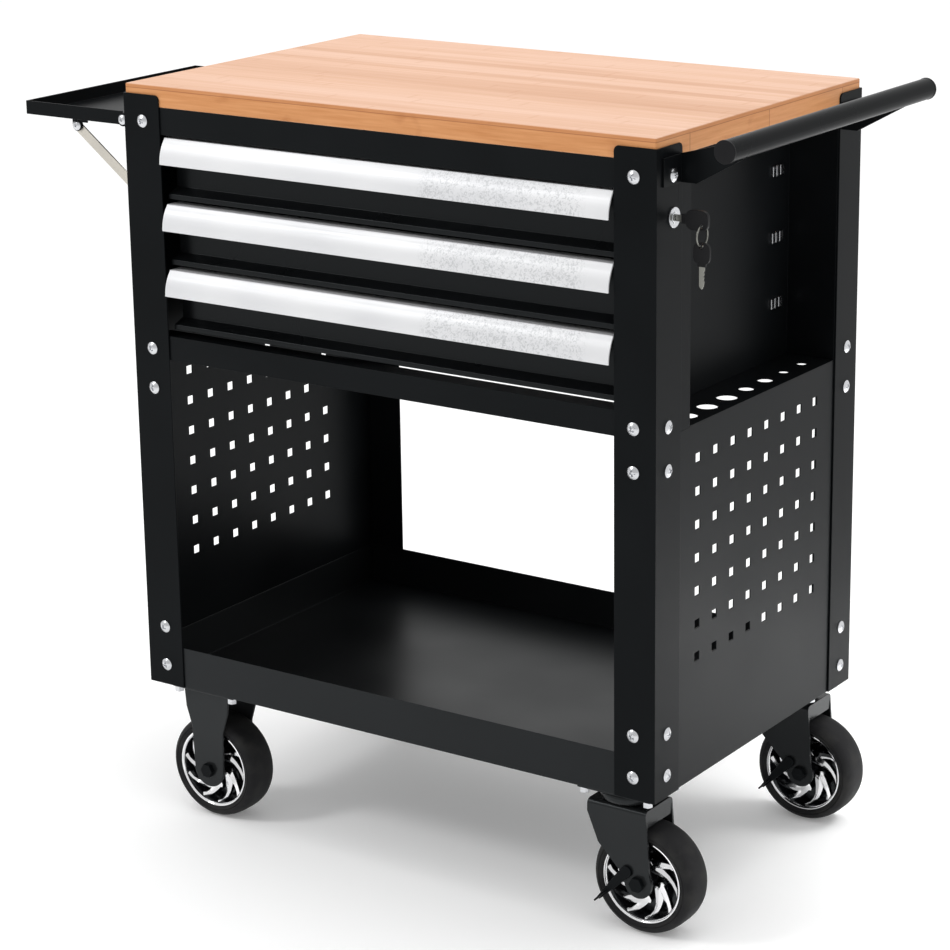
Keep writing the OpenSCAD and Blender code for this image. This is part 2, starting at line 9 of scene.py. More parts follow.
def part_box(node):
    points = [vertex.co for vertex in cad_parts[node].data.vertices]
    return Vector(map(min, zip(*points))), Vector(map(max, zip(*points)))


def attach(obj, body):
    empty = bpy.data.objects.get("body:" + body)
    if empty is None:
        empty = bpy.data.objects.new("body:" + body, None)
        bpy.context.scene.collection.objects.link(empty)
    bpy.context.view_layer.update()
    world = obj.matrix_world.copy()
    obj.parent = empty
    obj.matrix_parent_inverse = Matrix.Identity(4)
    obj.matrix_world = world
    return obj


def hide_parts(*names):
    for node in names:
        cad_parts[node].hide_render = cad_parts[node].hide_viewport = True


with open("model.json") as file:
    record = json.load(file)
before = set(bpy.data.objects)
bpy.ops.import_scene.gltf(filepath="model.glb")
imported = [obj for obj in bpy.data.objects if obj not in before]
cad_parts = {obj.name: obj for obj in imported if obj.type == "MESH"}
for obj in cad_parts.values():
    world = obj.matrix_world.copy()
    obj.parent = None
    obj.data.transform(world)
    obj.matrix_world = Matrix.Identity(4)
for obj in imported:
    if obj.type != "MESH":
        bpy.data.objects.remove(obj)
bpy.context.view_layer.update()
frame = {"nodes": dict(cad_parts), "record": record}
NODES = frame["nodes"]
MM = 0.001


# ---------- node-tree helpers ----------

def shade(colour, factor):
    """A colour made darker or lighter."""
    return tuple(c * factor for c in colour)


class Tree:
    """A material's node tree, with one call per node."""

    def __init__(self, name):
        self.mat = bpy.data.materials.new(name)
        self.mat.use_nodes = True
        self.nodes = self.mat.node_tree.nodes
        self.links = self.mat.node_tree.links
        self.shader = self.nodes["Principled BSDF"]
        self.coord = self.nodes.new("ShaderNodeTexCoord").outputs["Object"]

    def link(self, source, target):
        self.links.new(source, target)

    def feed(self, socket, value):
        """Links a socket, or sets a plain value."""
        if isinstance(value, bpy.types.NodeSocket):
            self.link(value, socket)
        else:
            socket.default_value = value

    def scaled(self, scale, turn=(0, 0, 0), move=(0, 0, 0)):
        node = self.nodes.new("ShaderNodeMapping")
        node.inputs["Scale"].default_value = scale
        node.inputs["Rotation"].default_value = turn
        node.inputs["Location"].default_value = move
        self.link(self.coord, node.inputs["Vector"])
        return node.outputs["Vector"]

    def noise(self, vector, scale, detail=3.0, rough=0.5, warp=0.0):
        node = self.nodes.new("ShaderNodeTexNoise")
        self.feed(node.inputs["Vector"], vector)
        node.inputs["Scale"].default_value = scale
        node.inputs["Detail"].default_value = detail
        node.inputs["Roughness"].default_value = rough
        node.inputs["Distortion"].default_value = warp
        return node.outputs["Fac"]

    def white(self, value):
        node = self.nodes.new("ShaderNodeTexWhiteNoise")
        node.noise_dimensions = "1D"
        self.link(value, node.inputs["W"])
        return node.outputs["Value"]

    def maths(self, kind, a, b=0.0, c=0.0):
        node = self.nodes.new("ShaderNodeMath")
        node.operation = kind
        for socket, value in zip(node.inputs, (a, b, c)):
            self.feed(socket, value)
        return node.outputs[0]

    def cell(self, value, start, size):
        """How many cells of a given size lie between start and value."""
        return self.maths("DIVIDE", self.maths("SUBTRACT", value, start), size)

    def apart(self, value, place):
        """Distance between a value and a place."""
        return self.maths("ABSOLUTE", self.maths("SUBTRACT", value, place))

    def axis(self, vector, name):
        node = self.nodes.new("ShaderNodeSeparateXYZ")
        self.link(vector, node.inputs[0])
        return node.outputs[name]

    def span(self, value, low, high, to_low=0.0, to_high=1.0):
        node = self.nodes.new("ShaderNodeMapRange")
        for name, v in (("Value", value), ("From Min", low), ("From Max", high),
                        ("To Min", to_low), ("To Max", to_high)):
            self.feed(node.inputs[name], v)
        return node.outputs["Result"]

    def ramp(self, value, stops):
        node = self.nodes.new("ShaderNodeValToRGB")
        ramp = node.color_ramp
        while len(ramp.elements) < len(stops):
            ramp.elements.new(0.5)
        for element, (place, colour) in zip(ramp.elements, stops):
            element.position = place
            element.color = (*colour, 1.0)
        self.link(value, node.inputs["Fac"])
        return node.outputs["Color"]

    def mix(self, factor, a, b, blend="MIX"):
        node = self.nodes.new("ShaderNodeMix")
        node.data_type = "RGBA"
        node.blend_type = blend
        self.feed(node.inputs["Factor"], factor)
        for index, value in ((6, a), (7, b)):
            self.feed(node.inputs[index], (*value, 1.0) if isinstance(value, tuple) else value)
        return node.outputs[2]

    def bump(self, height, distance, strength=1.0, under=None):
        node = self.nodes.new("ShaderNodeBump")
        node.inputs["Distance"].default_value = distance
        node.inputs["Strength"].default_value = strength
        self.link(height, node.inputs["Height"])
        if under is not None:
            self.link(under, node.inputs["Normal"])
        return node.outputs["Normal"]

    def finish(self, colour, rough, metal=0.0, normal=None, **extra):
        self.feed(self.shader.inputs["Base Color"],
                  (*colour, 1.0) if isinstance(colour, tuple) else colour)
        self.feed(self.shader.inputs["Roughness"], rough)
        self.shader.inputs["Metallic"].default_value = metal
        if normal is not None:
            self.link(normal, self.shader.inputs["Normal"])
        for name, value in extra.items():
            self.shader.inputs[name.replace("_", " ")].default_value = value
        return self.mat


# ---------- materials ----------

SCUFF = (0.16, 0.16, 0.17)
COOL_SHEEN = (0.90, 0.97, 1.0, 1.0)


def powder_coat(name, colour, rough, shine=0.10, grain=0.00003):
    """Satin powder coat: fine orange peel, broad gloss drift and faint pale scuffs."""
    t = Tree(name)
    peel = t.noise(t.coord, 900.0, 2.0)
    drift = t.noise(t.coord, 7.0, 2.0)
    scuff = t.span(t.noise(t.scaled((40, 40, 260)), 1.0, 6.0, 0.65), 0.66, 0.80)
    tint = t.mix(t.span(drift, 0.3, 0.7), shade(colour, 0.8), shade(colour, 1.2))
    tint = t.mix(t.maths("MULTIPLY", scuff, 0.05), tint, SCUFF)
    gloss = t.span(drift, 0.3, 0.7, rough - 0.03, rough + 0.05)
    return t.finish(tint, gloss, normal=t.bump(peel, grain, 0.6), Specular_IOR_Level=shine,
                    Specular_Tint=COOL_SHEEN)


# Laminated worktop: strips on its face, a top ply and butted blocks on its edges, in metres
STRIP = 0.021
STRIP_LENGTH = 0.27
TOP_PLY = 0.0045
PLY_LINE = 0.0003
BLOCK = 0.17
BLOCK_START = 0.0135
FACE_TONES = [(0.2, (0.53, 0.288, 0.173)), (0.5, (0.64, 0.392, 0.268)), (0.8, (0.69, 0.456, 0.342))]
FACE_FIBRE = (0.50, 0.25, 0.13)
FACE_JOINT = (0.46, 0.21, 0.10)
EDGE_TONES = [(0.3, (0.51, 0.212, 0.074)), (0.7, (0.63, 0.296, 0.124))]
EDGE_PALE = (0.74, 0.38, 0.20)
EDGE_KNOT = (0.36, 0.125, 0.040)
EDGE_PLY = (0.44, 0.17, 0.07)
EDGE_LINE = (0.22, 0.07, 0.025)


def bamboo_face(t, x, y, fibre):
    """Pale long strips of varied tone, with fine fibres and short dark joints."""
    chance = t.white(t.maths("FLOOR", t.maths("DIVIDE", y, STRIP)))
    cloud = t.noise(t.scaled((2.5, 26, 26)), 1.0, 3.0)
    tone = t.maths("ADD", t.maths("MULTIPLY", chance, 0.35), t.maths("MULTIPLY", cloud, 0.65))
    face = t.ramp(tone, FACE_TONES)
    face = t.mix(t.span(fibre, 0.4, 0.75, 0.0, 0.50), face, FACE_FIBRE)
    along = t.maths("ADD", t.maths("DIVIDE", x, STRIP_LENGTH), t.maths("MULTIPLY", chance, 3.7))
    joint = t.span(t.apart(t.maths("FRACT", along), 0.5), 0.0, 0.012, 1.0, 0.0)
    face = t.mix(t.maths("MULTIPLY", joint, 0.30), face, FACE_JOINT)
    seam = t.span(t.apart(t.maths("FRACT", t.maths("DIVIDE", y, STRIP)), 0.5), 0.475, 0.5)
    return t.mix(t.maths("MULTIPLY", seam, 0.10), face, FACE_FIBRE)


def bamboo_edge(t, y, depth):
    """More orange than the face, with knots, a darker top ply and butted blocks below it."""
    grain = t.noise(t.scaled((14, 14, 260)), 1.0, 4.0, 0.6)
    cell = t.cell(y, BLOCK_START, BLOCK)
    pale = t.maths("MULTIPLY", t.white(t.maths("FLOOR", cell)), 0.35)
    edge = t.mix(pale, t.ramp(grain, EDGE_TONES), EDGE_PALE)
    knot = t.span(t.noise(t.scaled((24, 24, 30)), 1.0, 2.0), 0.66, 0.78, 0.0, 0.45)
    edge = t.mix(knot, edge, EDGE_KNOT)
    edge = t.mix(t.span(depth, TOP_PLY, TOP_PLY + PLY_LINE, 0.35, 0.0), edge, EDGE_PLY)
    ply = t.span(t.apart(depth, TOP_PLY), 0.0002, 0.0007, 1.0, 0.0)
    butt = t.span(t.apart(t.maths("FRACT", cell), 0.5), 0.494, 0.4975)
    butt = t.maths("MULTIPLY", butt, t.span(depth, TOP_PLY, TOP_PLY + PLY_LINE))
    return t.mix(t.maths("MULTIPLY", t.maths("MAXIMUM", ply, butt), 0.55), edge, EDGE_LINE)


def bamboo(top_z):
    """Laminated bamboo: the face's look on level faces, the edge's look on upright ones."""
    t = Tree("bamboo_laminate")
    x, y, z = (t.axis(t.coord, n) for n in "XYZ")
    fibre = t.noise(t.scaled((4, 380, 380)), 1.0, 5.0, 0.6)
    face = bamboo_face(t, x, y, fibre)
    edge = bamboo_edge(t, y, t.maths("SUBTRACT", top_z, z))
    normal = t.nodes.new("ShaderNodeNewGeometry").outputs["Normal"]
    upward = t.maths("ABSOLUTE", t.axis(normal, "Z"))
    colour = t.mix(t.span(upward, 0.35, 0.85, 0.0, 1.0), edge, face)
    return t.finish(colour, t.span(fibre, 0.3, 0.8, 0.42, 0.55), normal=t.bump(fibre, 0.00006, 0.5),
                    Specular_IOR_Level=0.18)


# Speckled patch of each pull, from left to right in metres
PRINT_START = 0.09
PRINT_END = 0.31
PRINT_FADE = 0.015
PRINT_GREY = (0.36, 0.37, 0.38)


def satin_aluminium():
    """Near-white satin strip with fine lengthwise lines and a faint speckled patch toward one end."""
    t = Tree("satin_aluminium")
    lines = t.noise(t.scaled((6, 900, 900)), 1.0, 3.0)
    drift = t.noise(t.coord, 9.0, 2.0)
    colour = t.mix(t.span(drift, 0.3, 0.7), (0.64, 0.645, 0.660), (0.71, 0.713, 0.722))
    x = t.axis(t.coord, "X")
    after = t.span(x, PRINT_START, PRINT_START + PRINT_FADE)
    before = t.span(x, PRINT_END - PRINT_FADE, PRINT_END, 1.0, 0.0)
    speck = t.span(t.noise(t.coord, 240.0, 4.0, 0.7, 1.5), 0.50, 0.58)
    patch = t.maths("MULTIPLY", t.maths("MULTIPLY", after, before), speck)
    colour = t.mix(t.maths("MULTIPLY", patch, 0.55), colour, PRINT_GREY)
    return t.finish(colour, t.span(lines, 0.3, 0.7, 0.36, 0.48), 0.15, t.bump(lines, 0.00002, 0.5))


def plated(name, colour, rough):
    """Plated or polished metal with faint clouding and fine scratches."""
    t = Tree(name)
    cloud = t.noise(t.coord, 60.0, 3.0)
    fine = t.noise(t.scaled((300, 300, 2400)), 1.0, 2.0)
    tint = t.mix(t.span(cloud, 0.3, 0.7), shade(colour, 0.92), colour)
    return t.finish(tint, t.span(cloud, 0.3, 0.7, rough, rough + 0.08), 1.0, t.bump(fine, 0.00001, 0.4))


def rubber():
    """Dull black rubber with a fine grain and patches of dust."""
    t = Tree("tyre_rubber")
    grain = t.noise(t.coord, 800.0, 3.0)
    dust = t.noise(t.coord, 45.0, 4.0)
    tint = t.mix(t.span(dust, 0.45, 0.75), (0.013, 0.013, 0.014), (0.027, 0.027, 0.026))
    return t.finish(tint, t.span(dust, 0.3, 0.8, 0.56, 0.74), normal=t.bump(grain, 0.00010, 0.8),
                    Specular_IOR_Level=0.12)


def grained_plastic():
    """Black moulded plastic with a fine grain."""
    t = Tree("grained_plastic")
    grain = t.noise(t.coord, 1800.0, 2.0)
    drift = t.noise(t.coord, 30.0, 2.0)
    tint = t.mix(drift, (0.007, 0.007, 0.008), (0.014, 0.014, 0.015))
    return t.finish(tint, t.span(drift, 0.3, 0.7, 0.34, 0.44), normal=t.bump(grain, 0.00004, 0.6),
                    Specular_IOR_Level=0.09)


def backdrop():
    """Plain white studio floor, lifted a little so that it stays pale."""
    t = Tree("studio_floor")
    soft = t.noise(t.coord, 0.8, 2.0)
    return t.finish(t.mix(soft, (0.94, 0.94, 0.94), (0.96, 0.96, 0.96)), 0.8, Specular_IOR_Level=0.2,
                    Emission_Color=(1.0, 1.0, 1.0, 1.0), Emission_Strength=0.12)


STEEL_BLACK = (0.0040, 0.0046, 0.0052)
SOFT_BLACK = (0.0045, 0.0050, 0.0056)
LOOKS = {
    "steel": powder_coat("black_powder_coat", STEEL_BLACK, 0.34, 0.07),
    "tube": powder_coat("black_tube_coat", (0.0045, 0.005, 0.0055), 0.28, 0.045, 0.00002),
    "bamboo": bamboo(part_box("worktop")[1].z),
    "pull": satin_aluminium(),
    "zinc": plated("bright_zinc", (0.62, 0.63, 0.65), 0.22),
    "strut": plated("passivated_zinc", (0.60, 0.57, 0.51), 0.38),
    "rim": plated("polished_chrome", (0.90, 0.90, 0.91), 0.06),
    "tyre": rubber(),
    "plastic": grained_plastic(),
}
KEY_STEEL = plated("key_steel", (0.22, 0.22, 0.20), 0.30)
TRAY_COAT = powder_coat("tray_coat", SOFT_BLACK, 0.36, 0.21)
FRONT_COAT = powder_coat("front_coat", SOFT_BLACK, 0.28, 0.13)
POST_COAT = powder_coat("post_coat", STEEL_BLACK, 0.36, 0.055)
CASTOR_COAT = powder_coat("castor_gloss", (0.0115, 0.0122, 0.0128), 0.20, 0.22, 0.00002)
RIM_BLACK = powder_coat("gloss_black_dish", (0.004, 0.004, 0.005), 0.16, 0.4)
# Looks of single nodes; every other node has the look of its material slot
OWN_LOOK = {
    **dict.fromkeys(("drawer_1_front", "drawer_2_front", "drawer_3_front"), FRONT_COAT),
    **dict.fromkeys(("post_front_left", "post_front_right", "post_rear_left", "post_rear_right"), POST_COAT),
    **dict.fromkeys(("rigid_forks", "swivel_plates", "swivel_fork_front", "swivel_fork_rear"), CASTOR_COAT),
    "right_recess_wall": POST_COAT,
    "lower_tray": TRAY_COAT,
    "key_ring": KEY_STEEL,
}


# ---------- mesh helpers ----------

def metres(points, side=1):
    """Pairs of millimetres in metres; side -1 turns the second one round."""
    return [(a * MM, side * b * MM) for a, b in points]


def new_piece(name, mesh, materials, smooth=True):
    """Puts a mesh in the scene as a named piece with its materials."""
    obj = bpy.data.objects.new(name, mesh)
    bpy.context.scene.collection.objects.link(obj)
    for material in materials:
        mesh.materials.append(material)
    if smooth:
        mesh.shade_smooth()
        mesh.set_sharp_from_angle(angle=math.radians(35))
    return obj


def finish_piece(bm, name, materials):
    """Turns a bmesh into a named, smooth-shaded piece."""
    bmesh.ops.recalc_face_normals(bm, faces=bm.faces)
    mesh = bpy.data.meshes.new(name)
    bm.to_mesh(mesh)
    bm.free()
    return new_piece(name, mesh, materials)


def place_piece(obj, body, node):
    """Hangs a piece on the body it rides on and hides the CAD node it takes the place of."""
    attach(obj, body)
    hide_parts(node)


def soften(obj, width, segments=2):
    """Rounds a piece's edges without touching its mesh data."""
    weld = obj.modifiers.new("weld", "WELD")
    weld.merge_threshold = 0.00001
    flat = obj.modifiers.new("flat", "DECIMATE")
    flat.decimate_type = "DISSOLVE"
    flat.angle_limit = math.radians(0.5)
    bevel = obj.modifiers.new("bevel", "BEVEL")
    bevel.width = width
    bevel.segments = segments
    bevel.limit_method = "ANGLE"
    bevel.angle_limit = math.radians(40)
    even = obj.modifiers.new("even", "WEIGHTED_NORMAL")
    even.keep_sharp = False


def lathe(bm, profile, centre, steps=96, material=0):
    """Turns a closed (radius, offset) profile about an axis along y."""
    rings = []
    for i in range(steps):
        a = 2 * math.pi * i / steps
        rings.append([bm.verts.new(centre + Vector((r * math.cos(a), w, r * math.sin(a))))
                      for r, w in profile])
    for i in range(steps):
        one, two = rings[i], rings[(i + 1) % steps]
        for j in range(len(profile)):
            k = (j + 1) % len(profile)
            bm.faces.new((one[j], one[k], two[k], two[j])).material_index = material


def ribbon(bm, centre, path, half_widths, y0, y1, crown, material=0):
    """A flat arm along a path of (x, z) points, from y0 to y1 thick, crowned along its middle."""
    sections = []
    for i, point in enumerate(path):
        before, after = path[max(i - 1, 0)], path[min(i + 1, len(path) - 1)]
        along = (Vector(after) - Vector(before)).normalized()
        across = Vector((-along.y, along.x)) * half_widths[i]
        left, right = Vector(point) + across, Vector(point) - across
        mid = Vector(point)
        corners = ((left, y1), (left, y0), (mid, y0 - crown), (right, y0), (right, y1))
        sections.append([bm.verts.new(centre + Vector((p.x, y, p.y))) for p, y in corners])
    for one, two in zip(sections, sections[1:]):
        for j in range(len(one)):
            k = (j + 1) % len(one)
            bm.faces.new((one[j], one[k], two[k], two[j])).material_index = material
    bm.faces.new(sections[0]).material_index = material
    bm.faces.new(sections[-1][::-1]).material_index = material


def polar(radius, angle):
    """A point (x, z) at a radius and an angle."""
    return (radius * math.cos(angle), radius * math.sin(angle))


# ---------- wheels ----------

WHEELS = ("front_right", "rear_right", "front_left", "rear_left")
# Wheel sizes are millimetres, radius first, then the offset along the axle; turns are radians
TYRE_RADIUS = 63.5
BEAD_RADIUS = 50.0
TYRE_HALF_WIDTH = 23.0
RIM_BARREL = [(50.0, -20.0), (50.0, 20.0), (46.6, 19.6), (44.0, 14.0), (42.8, 5.0),
              (42.8, -5.0), (44.0, -14.0), (46.6, -19.6)]
RIM_LIP = [(49.9, 20.0), (49.2, 21.3), (48.0, 21.6), (46.9, 20.8), (46.3, 19.4), (47.5, 18.0)]
RIM_HUB = [(5.1, 22.0), (9.5, 22.0), (12.5, 20.6), (14.0, 17.5), (14.0, 3.0), (5.1, 3.0)]
RIM_WEB = [(13.0, -2.0), (43.5, -2.0), (43.5, 2.0), (13.0, 2.0)]
SPOKES = 5
FIRST_SPOKE = -0.1
SPOKE_FACE = 16.5
SPOKE_BACK = 11.0
SPOKE_CROWN = 2.0
FORK_TURN = -0.10
SHORT_TURN = -0.55
LONG_TURN = -1.30
SWEEP_POWER = 0.8


def tyre_profile():
    """Crowned tread, round shoulders and a raised ring on each sidewall."""
    r, r_in, w = TYRE_RADIUS, BEAD_RADIUS, TYRE_HALF_WIDTH
    half = [(r_in, w - 3.0), (r_in + 1.6, w - 1.0), (r_in + 3.2, w - 0.3), (r_in + 4.6, w - 1.2),
            (r - 7.5, w - 0.1), (r - 5.2, w - 1.1), (r - 3.0, w - 3.2), (r - 1.4, w - 6.2),
            (r - 0.5, w - 10.0), (r, w - 16.0)]
    return metres(half + [(a, -b) for a, b in reversed(half)])


def make_tyre(which, centre):
    """A moulded tyre in the place of the plain one."""
    bm = bmesh.new()
    lathe(bm, tyre_profile(), centre, 128)
    obj = finish_piece(bm, "moulded_tyre_" + which, [LOOKS["tyre"]])
    place_piece(obj, "wheel_" + which, "tyre_" + which)


def swept(start, turn, radii):
    """Points whose angle turns, quickest at first, while the radius runs through the given values."""
    last = len(radii) - 1
    return [polar(r * MM, start + turn * (i / last) ** SWEEP_POWER) for i, r in enumerate(radii)]


def fin_arm(bm, centre, path, widths, side):
    """One arm of a fin, standing toward one face of the wheel."""
    ribbon(bm, centre, path, [w * MM for w in widths],
           side * (SPOKE_FACE * MM), side * (SPOKE_BACK * MM), -side * (SPOKE_CROWN * MM))


def spoke_fin(bm, centre, start, side):
    """One fin: a pointed root, a short arm out to the ring and a long arm swept round inside it."""
    root = swept(start, FORK_TURN, (16, 19, 22, 25))
    fin_arm(bm, centre, root, (2.0, 5.0, 7.0, 6.5), side)
    short = swept(start + FORK_TURN, SHORT_TURN, (22, 27, 32, 37, 42, 46.5))
    fin_arm(bm, centre, short, (5.5, 4.6, 3.6, 3.0, 2.8, 4.0), side)
    long = swept(start + FORK_TURN, LONG_TURN, (21, 24, 28, 33, 38, 42.5, 46.5))
    fin_arm(bm, centre, long, (6.0, 5.6, 4.6, 3.4, 2.4, 1.8, 2.4), side)


def make_rim(which, centre):
    """Chrome outer ring, black dish, hub and curved forked fins on both faces."""
    chrome, black = 0, 1
    bm = bmesh.new()
    lathe(bm, metres(RIM_BARREL), centre, 96, black)
    for side in (-1, 1):
        lathe(bm, metres(RIM_LIP, side), centre, 96, chrome)
        lathe(bm, metres(RIM_HUB, side), centre, 64, black)
    lathe(bm, metres(RIM_WEB), centre, 96, black)
    for side in (-1, 1):
        for n in range(SPOKES):
            spoke_fin(bm, centre, 2 * math.pi * n / SPOKES + FIRST_SPOKE, side)
    obj = finish_piece(bm, "spoked_rim_" + which, [LOOKS["rim"], RIM_BLACK])
    place_piece(obj, "wheel_" + which, "rim_" + which)


for wheel in WHEELS:
    low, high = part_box("tyre_" + wheel)
    make_tyre(wheel, (low + high) / 2)
    make_rim(wheel, (low + high) / 2)


# ---------- bolt heads ----------

# Pan heads in millimetres; each one's cross is turned a little further, in radians
HEAD_RINGS = (0.45, 0.9, 1.35, 1.8, 2.3, 2.8, 3.4, 4.2, 5.2, 6.2, 6.9, 7.4)
HEAD_STEPS = 48
HEAD_TOP = 3.85
HEAD_DROP = 2.8
HEAD_POWER = 2.2
HEAD_FOOT = 0.05
HEAD_TURN = 0.65
CROSS_HALF = 1.0
CROSS_REACH = 3.3
CROSS_DEPTH = 1.6


def head_height(radius, angle):
    """Dome height at a point of a pan head, with a cross recess."""
    dome = HEAD_TOP - HEAD_DROP * (radius / HEAD_RINGS[-1]) ** HEAD_POWER
    u, v = abs(radius * math.cos(angle)), abs(radius * math.sin(angle))
    in_cross = min(u, v) < CROSS_HALF and max(u, v) < CROSS_REACH
    return dome - (CROSS_DEPTH if in_cross else 0.0)


def add_head(bm, place, out, turn):
    """One head standing on a face at place, pointing along out, with its cross turned."""
    across = Vector((0, 0, 1))
    along = out.cross(across)
    angles = [2 * math.pi * i / HEAD_STEPS for i in range(HEAD_STEPS)]

    def vert(r, a, h):
        return bm.verts.new(place + (along * (r * math.cos(a)) + across * (r * math.sin(a)) + out * h) * MM)

    tip = vert(0.0, 0.0, head_height(0.0, 0.0))
    made = [[vert(r, a, head_height(r, a + turn)) for a in angles] for r in HEAD_RINGS]
    made.append([vert(HEAD_RINGS[-1], a, HEAD_FOOT) for a in angles])
    for i in range(HEAD_STEPS):
        k = (i + 1) % HEAD_STEPS
        bm.faces.new((tip, made[0][i], made[0][k]))
        for one, two in zip(made, made[1:]):
            bm.faces.new((one[i], two[i], two[k], one[k]))
    bm.faces.new(made[-1])


def islands(mesh):
    """(lowest, highest) corner of every loose part of a mesh."""
    bm = bmesh.new()
    bm.from_mesh(mesh)
    bmesh.ops.remove_doubles(bm, verts=bm.verts, dist=0.00001)
    waiting = set(bm.verts)
    found = []
    while waiting:
        stack = [waiting.pop()]
        part = []
        while stack:
            vert = stack.pop()
            part.append(vert.co.copy())
            for edge in vert.link_edges:
                other = edge.other_vert(vert)
                if other in waiting:
                    waiting.discard(other)
                    stack.append(other)
        found.append(tuple(Vector([pick(p[i] for p in part) for i in range(3)]) for pick in (min, max)))
    bm.free()
    return sorted(found, key=lambda c: tuple(round(v, 4) for v in c[0]))


def make_heads():
    """A pan head in the place of every plain head of the frame bolts."""
    bm = bmesh.new()
    for n, (low, high) in enumerate(islands(NODES["frame_bolts"].data)):
        thin = min(range(3), key=lambda i: high[i] - low[i])
        mid = (low + high) / 2
        sign = 1 if mid[thin] > 0 else -1
        out = Vector((0, 0, 0))
        out[thin] = sign
        mid[thin] = low[thin] if sign > 0 else high[thin]
        add_head(bm, mid, out, n * HEAD_TURN)
    obj = finish_piece(bm, "pan_heads", [LOOKS["zinc"]])
    place_piece(obj, "chassis", "frame_bolts")


make_heads()


# ---------- keys ----------

# Key outlines as (x, z) in millimetres from each part's own origin
EYE_RADIUS = 2.4
BOW_POWER = 0.62
BOW_STEPS = 40
LOCK_COLLAR = [(-1, -5), (7, -5), (7, 5), (-1, 5)]
LOCK_BLADE = [(0.1, -3.6), (8.4, -3.6), (8.4, 3.6), (0.1, 3.6)]
SPARE_COLLAR = [(-4.5, -1.5), (4.5, -1.5), (5.5, 3), (-5.5, 3)]
SPARE_BLADE = [(-3.4, 2), (3.4, 2), (3.4, -4), (2.2, -5.5), (3.1, -7.5), (1.6, -9.5), (2.8, -11.5),
               (1.9, -13.5), (3.0, -16), (2.0, -20.5), (0.2, -24.2), (-2.2, -22.5), (-3.4, -20)]


def plate_with_eye(bm, centre, outline, eye, eye_r, half):
    """A plate in the x-z plane with a round eye; the outline is a list of (x, z) points."""
    middle = Vector(eye)
    rings = []
    for point in outline:
        rim = Vector(point)
        inner = middle + (rim - middle).normalized() * eye_r
        corners = ((rim, -half), (inner, -half), (inner, half), (rim, half))
        rings.append([bm.verts.new(centre + Vector((p.x, y, p.y))) for p, y in corners])
    for one, two in zip(rings, rings[1:] + rings[:1]):
        for j in range(4):
            k = (j + 1) % 4
            bm.faces.new((one[j], one[k], two[k], two[j]))


def bow_outline(half_x, half_z):
    """A rounded, slightly squared oval."""
    points = []
    for i in range(BOW_STEPS):
        a = 2 * math.pi * i / BOW_STEPS
        c, s = math.cos(a), math.sin(a)
        points.append((math.copysign(abs(c) ** BOW_POWER, c) * half_x,
                       math.copysign(abs(s) ** BOW_POWER, s) * half_z))
    return points


def prism(bm, centre, outline, half, material=0):
    """A plate in the x-z plane, half thick to either side of its centre."""
    front = [bm.verts.new(centre + Vector((x, -half, z))) for x, z in outline]
    back = [bm.verts.new(centre + Vector((x, half, z))) for x, z in outline]
    bm.faces.new(front).material_index = material
    bm.faces.new(back[::-1]).material_index = material
    for i in range(len(outline)):
        k = (i + 1) % len(outline)
        bm.faces.new((front[i], back[i], back[k], front[k])).material_index = material


def build_lock_key(bm, low, high):
    """Bow to the right with its eye low, a collar and the end of the blade in the plug."""
    y = (low.y + high.y) / 2
    z = (low.z + high.z) / 2
    bow = Vector((high.x - 13.5 * MM, y, z))
    outline = bow_outline(13.3 * MM, 10.8 * MM)
    plate_with_eye(bm, bow, outline, (5.5 * MM, -6.0 * MM), EYE_RADIUS * MM, 2.4 * MM)
    prism(bm, Vector((low.x + 9.0 * MM, y, z)), metres(LOCK_COLLAR), 2.2 * MM)
    prism(bm, Vector((low.x, y, z)), metres(LOCK_BLADE), 0.95 * MM, 1)


def build_spare_key(bm, low, high):
    """Bow at the top with its eye, and a cut steel blade hanging from it."""
    mid = (low + high) / 2
    bow = Vector((mid.x, mid.y, high.z - 11.3 * MM))
    plate_with_eye(bm, bow, bow_outline(9.8 * MM, 11.2 * MM), (0.0, 7.0 * MM), EYE_RADIUS * MM, 1.9 * MM)
    prism(bm, Vector((mid.x, mid.y, high.z - 24.0 * MM)), metres(SPARE_COLLAR), 1.6 * MM)
    prism(bm, Vector((mid.x, mid.y, high.z - 25.5 * MM)), metres(SPARE_BLADE), 0.9 * MM, 1)


def key_piece(name, node, body, build):
    """A plastic-headed key with a steel blade in the box of its CAD node."""
    bm = bmesh.new()
    build(bm, *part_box(node))
    obj = finish_piece(bm, name, [LOOKS["plastic"], KEY_STEEL])
    bevel = obj.modifiers.new("bevel", "BEVEL")
    bevel.width = 0.5 * MM
    bevel.segments = 2
    bevel.limit_method = "ANGLE"
    place_piece(obj, body, node)


key_piece("lock_key_cut", "lock_key", "lock_turning", build_lock_key)
key_piece("spare_key_cut", "spare_key", "spare_key_hanging", build_spare_key)


# ---------- CAD nodes that keep their shape ----------

REPLACED = ("tyre_", "rim_", "frame_bolts", "lock_key", "spare_key")
SLOTS = {s["node"]: s["material_slot"] for s in frame["record"]["subparts"]}
# Edge rounding in millimetres where it isn't the usual one
USUAL_ROUNDING = 0.5
ROUNDING = {
    **dict.fromkeys(("drawer_1_front", "drawer_2_front", "drawer_3_front"), 1.0),
    **dict.fromkeys(("swivel_fork_front", "swivel_fork_rear", "rigid_forks"), 1.0),
    **dict.fromkeys(("brake_lever_front", "brake_lever_rear"), 1.0),
    **dict.fromkeys(("lower_tray", "side_tray"), 0.6),
    **dict.fromkeys(("key_ring", "handle_tube"), 0.0),
    "worktop": 1.5,
    "handle_caps": 1.2,
}


